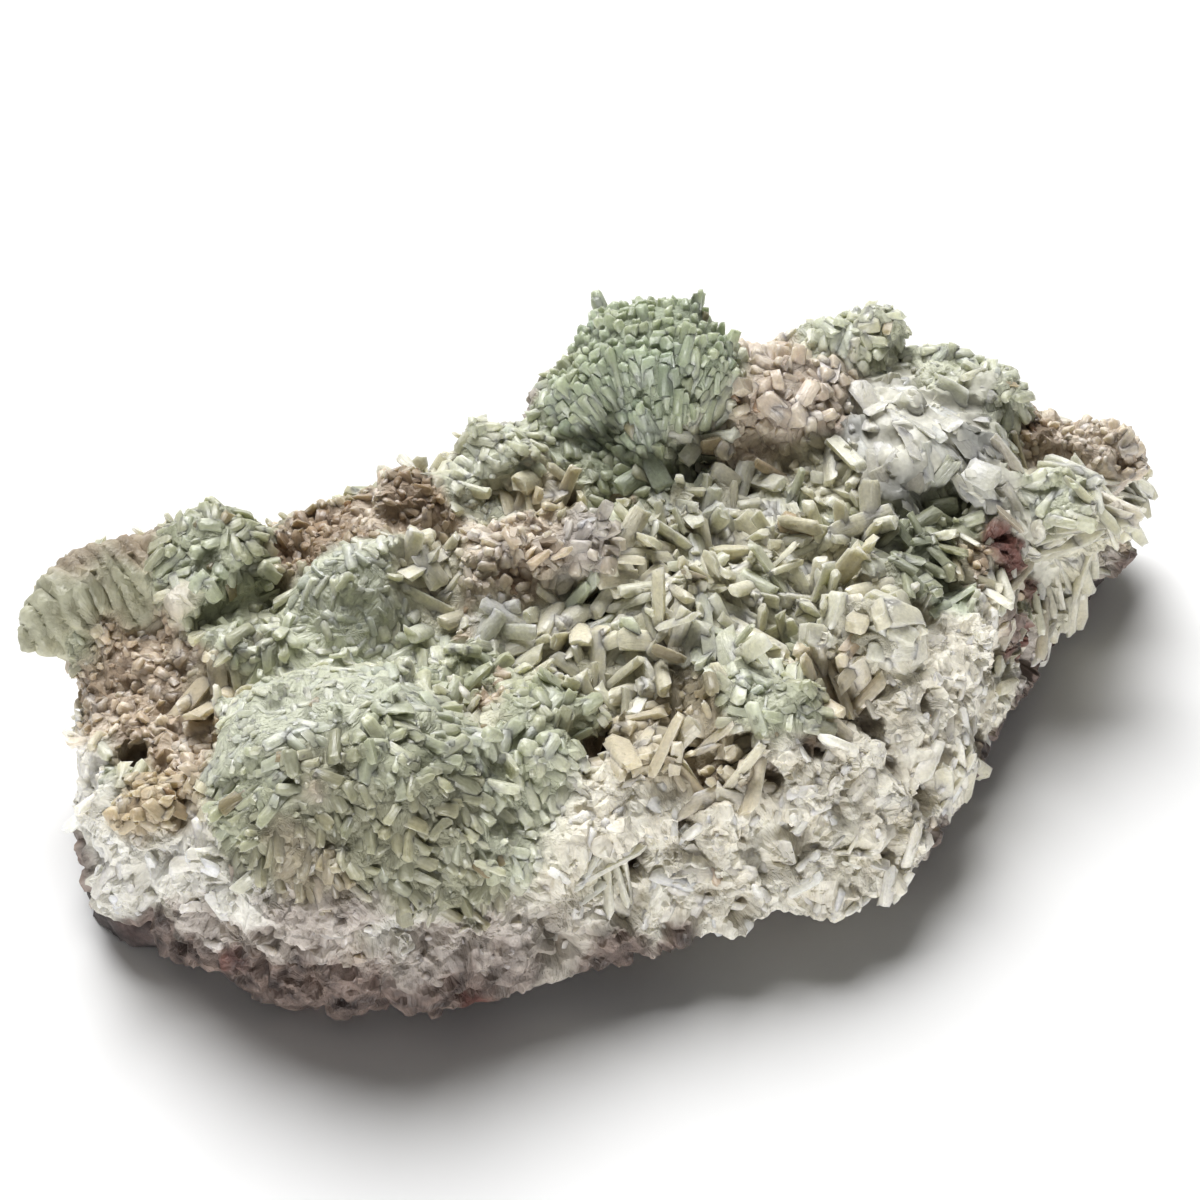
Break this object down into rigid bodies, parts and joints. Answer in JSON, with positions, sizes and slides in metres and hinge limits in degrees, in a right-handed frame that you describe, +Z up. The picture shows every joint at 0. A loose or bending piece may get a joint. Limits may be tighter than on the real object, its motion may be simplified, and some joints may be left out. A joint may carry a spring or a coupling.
{
  "type": "prehnite specimen",
  "caption": "Hand-sized slab of pale green and cream prehnite crystals, in domes and criss-cross blades, on a thin remnant of dark basalt.",
  "frame": {"origin": "middle of the specimen's bounding box in plan, on the surface that it rests on", "axes": "+X along the slab towards its narrow right end, +Y towards its back edge, +Z up"},
  "size_m": [0.1814, 0.1202, 0.0572],
  "materials": {
    "prehnite": "milky translucent crystal, satin to waxy",
    "basalt": "rough broken stone"
  },
  "bodies": {
    "root": {"prehnite_crust": "prehnite", "basalt_matrix": "basalt"}
  },
  "joints": []
}
